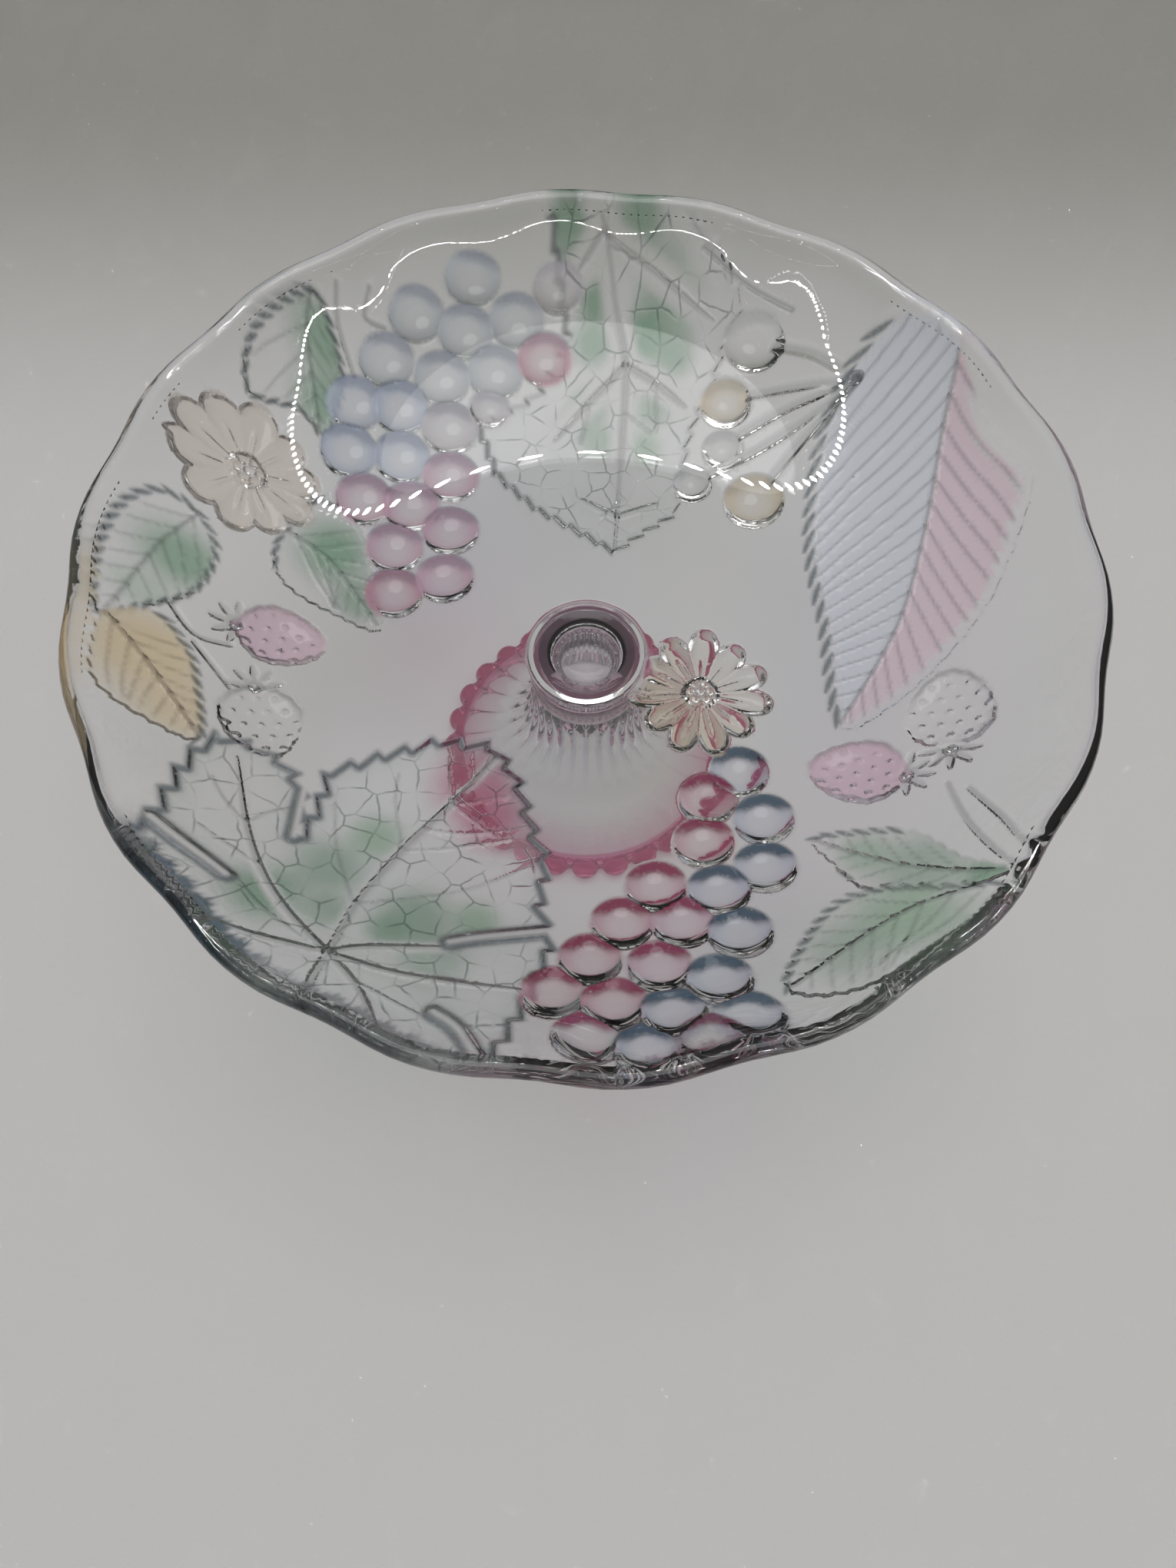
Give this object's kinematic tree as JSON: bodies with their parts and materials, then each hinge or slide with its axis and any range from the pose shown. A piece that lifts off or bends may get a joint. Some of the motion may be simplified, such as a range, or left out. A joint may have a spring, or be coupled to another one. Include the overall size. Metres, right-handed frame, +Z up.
{
  "type": "footed glass bowl",
  "caption": "Wide shallow footed glass bowl with a scalloped rim, fruit and leaf relief on its underside and a hollow fluted foot, lifting off a push-in connector.",
  "frame": {"origin": "centre of the foot's base, on the surface the bowl stands on", "axes": "+Z up along the bowl's axis, +Y towards the far vine leaf, +X towards the two-tone leaf"},
  "size_m": [0.3216, 0.3216, 0.145],
  "materials": {
    "bowl_glass": "clear pressed glass with airbrushed stains on the underside",
    "clear_plastic": "clear moulded plastic",
    "foot_glass": "clear pressed glass, base beads stained pink"
  },
  "bodies": {
    "base": {"foot": "foot_glass", "connector": "clear_plastic"},
    "bowl": {"bowl": "bowl_glass"}
  },
  "joints": [
    {"name": "bowl_lift", "type": "slide", "parent": "base", "child": "bowl", "axis": [0, 0, 1], "range_m": [0, 0.04]}
  ]
}
